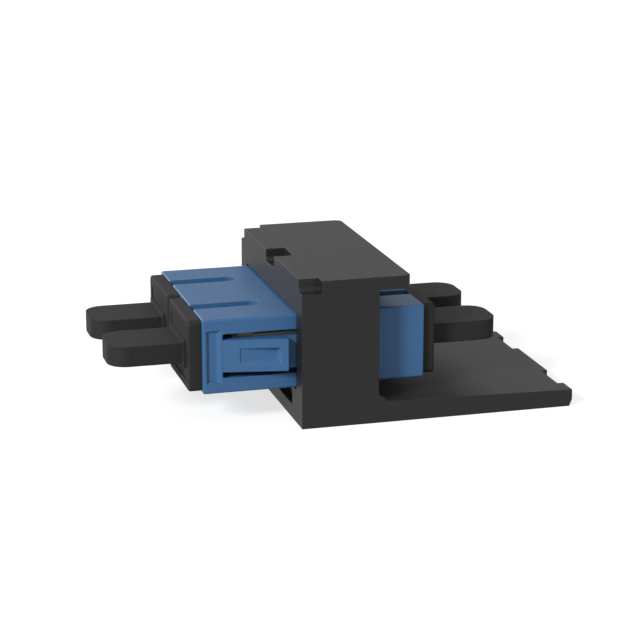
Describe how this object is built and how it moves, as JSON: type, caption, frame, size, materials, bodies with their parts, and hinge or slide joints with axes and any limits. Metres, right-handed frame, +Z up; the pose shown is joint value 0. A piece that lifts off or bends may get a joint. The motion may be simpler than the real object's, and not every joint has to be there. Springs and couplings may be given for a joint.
{
  "type": "duplex SC fibre adapter module",
  "caption": "Duplex fibre adapter snapped into a black module frame, with split alignment sleeves, hooked sleeve holders and pull-out dust caps.",
  "frame": {"origin": "middle of the part's footprint, on the underside of the module frame", "axes": "+X along the fibre from the front of the frame towards its base plate, +Y to the left as seen from the front, +Z up"},
  "size_m": [0.0594, 0.032, 0.019],
  "materials": {
    "frame_black": "fine satin moulded plastic",
    "adapter_blue": "satin moulded plastic",
    "holder_beige": "natural moulded plastic",
    "sleeve_white": "polished zirconia ceramic",
    "cap_black": "soft satin moulded plastic"
  },
  "bodies": {
    "adapter": {"module_frame": "frame_black", "adapter_front_shell": "adapter_blue", "adapter_rear_shell": "adapter_blue", "sleeve_holder_front_left": "holder_beige", "sleeve_holder_front_right": "holder_beige", "sleeve_holder_rear_left": "holder_beige", "sleeve_holder_rear_right": "holder_beige", "alignment_sleeve_left": "sleeve_white", "alignment_sleeve_right": "sleeve_white"},
    "front_left_cap": {"dust_cap_front_left": "cap_black"},
    "front_right_cap": {"dust_cap_front_right": "cap_black"},
    "rear_left_cap": {"dust_cap_rear_left": "cap_black"},
    "rear_right_cap": {"dust_cap_rear_right": "cap_black"}
  },
  "joints": [
    {"name": "front_left_cap_pull", "type": "slide", "parent": "adapter", "child": "front_left_cap", "axis": [-1, 0, 0], "range_m": [0, 0.02]},
    {"name": "front_right_cap_pull", "type": "slide", "parent": "adapter", "child": "front_right_cap", "axis": [-1, 0, 0], "range_m": [0, 0.02]},
    {"name": "rear_left_cap_pull", "type": "slide", "parent": "adapter", "child": "rear_left_cap", "axis": [1, 0, 0], "range_m": [0, 0.02]},
    {"name": "rear_right_cap_pull", "type": "slide", "parent": "adapter", "child": "rear_right_cap", "axis": [1, 0, 0], "range_m": [0, 0.02]}
  ]
}
